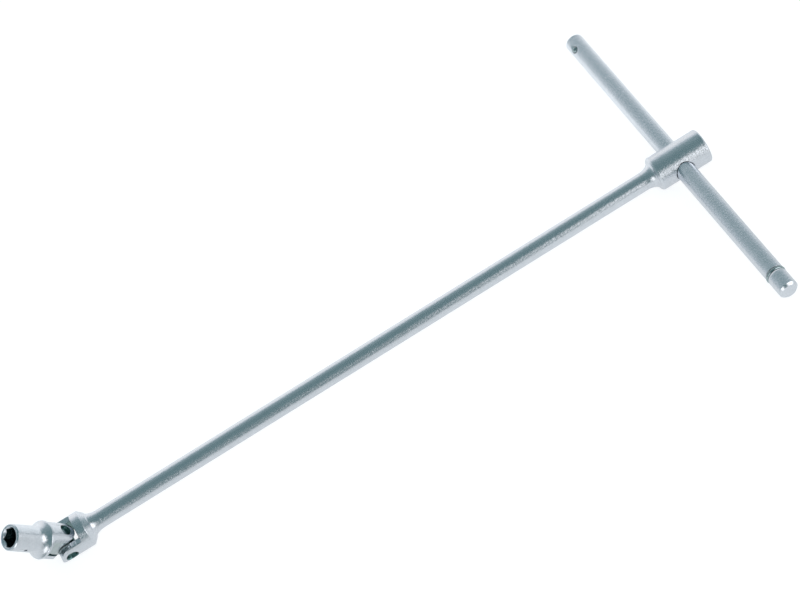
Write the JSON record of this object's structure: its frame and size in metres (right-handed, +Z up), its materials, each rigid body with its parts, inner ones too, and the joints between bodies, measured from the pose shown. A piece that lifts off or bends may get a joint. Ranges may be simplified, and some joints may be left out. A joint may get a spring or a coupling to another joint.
{
  "type": "sliding T-handle swivel socket wrench",
  "caption": "Sliding T-handle wrench: a long round shaft with a bar that slides through its head and a hexagon socket on a universal joint at the other end.",
  "frame": {"origin": "the middle of the whole wrench's box, on the flat surface that the wrench lies on", "axes": "+X along the shaft from the universal joint to the T head, +Y along the sliding bar from its ring end to its ball end, +Z up from the surface"},
  "size_m": [0.3732, 0.2, 0.04],
  "materials": {
    "satin_chrome": "satin chrome plate with a fine grain",
    "bare_steel": "bare steel, smooth"
  },
  "bodies": {
    "shaft": {"t_head": "satin_chrome", "shaft_rod": "satin_chrome", "shaft_fork": "satin_chrome", "shaft_pin": "bare_steel"},
    "link": {"joint_link": "bare_steel"},
    "swivel_socket": {"socket": "satin_chrome", "socket_pin": "bare_steel"},
    "ring": {"retaining_ring": "bare_steel"},
    "bar": {"slide_bar": "satin_chrome", "detent_spring": "bare_steel"},
    "ball": {"detent_ball": "bare_steel"}
  },
  "joints": [
    {"name": "link_hinge", "type": "hinge", "parent": "shaft", "child": "link", "pos_m": [-0.16394, -0.0015, 0.009], "axis": [0, 0.9659, 0.2588], "range_deg": [-118, 2]},
    {"name": "socket_hinge", "type": "hinge", "parent": "link", "child": "swivel_socket", "pos_m": [-0.16712, -0.00282, 0.01391], "axis": [-0.848, 0.1372, -0.5119], "range_deg": [-62, 50]},
    {"name": "bar_slide", "type": "slide", "parent": "shaft", "child": "ring", "axis": [0, 1, 0], "range_m": [-0.0823, 0.0774]},
    {"name": "bar_spin", "type": "hinge", "parent": "ring", "child": "bar", "pos_m": [0.17206, 0, 0.009], "axis": [0, 1, 0], "continuous": true},
    {"name": "ball_press", "type": "slide", "parent": "bar", "child": "ball", "axis": [-0.7071, 0, 0.7071], "range_m": [-0.0007, 0], "stiffness_N_per_m": 800, "springref_m": 0.0004, "deforming": ["detent_spring"]}
  ]
}
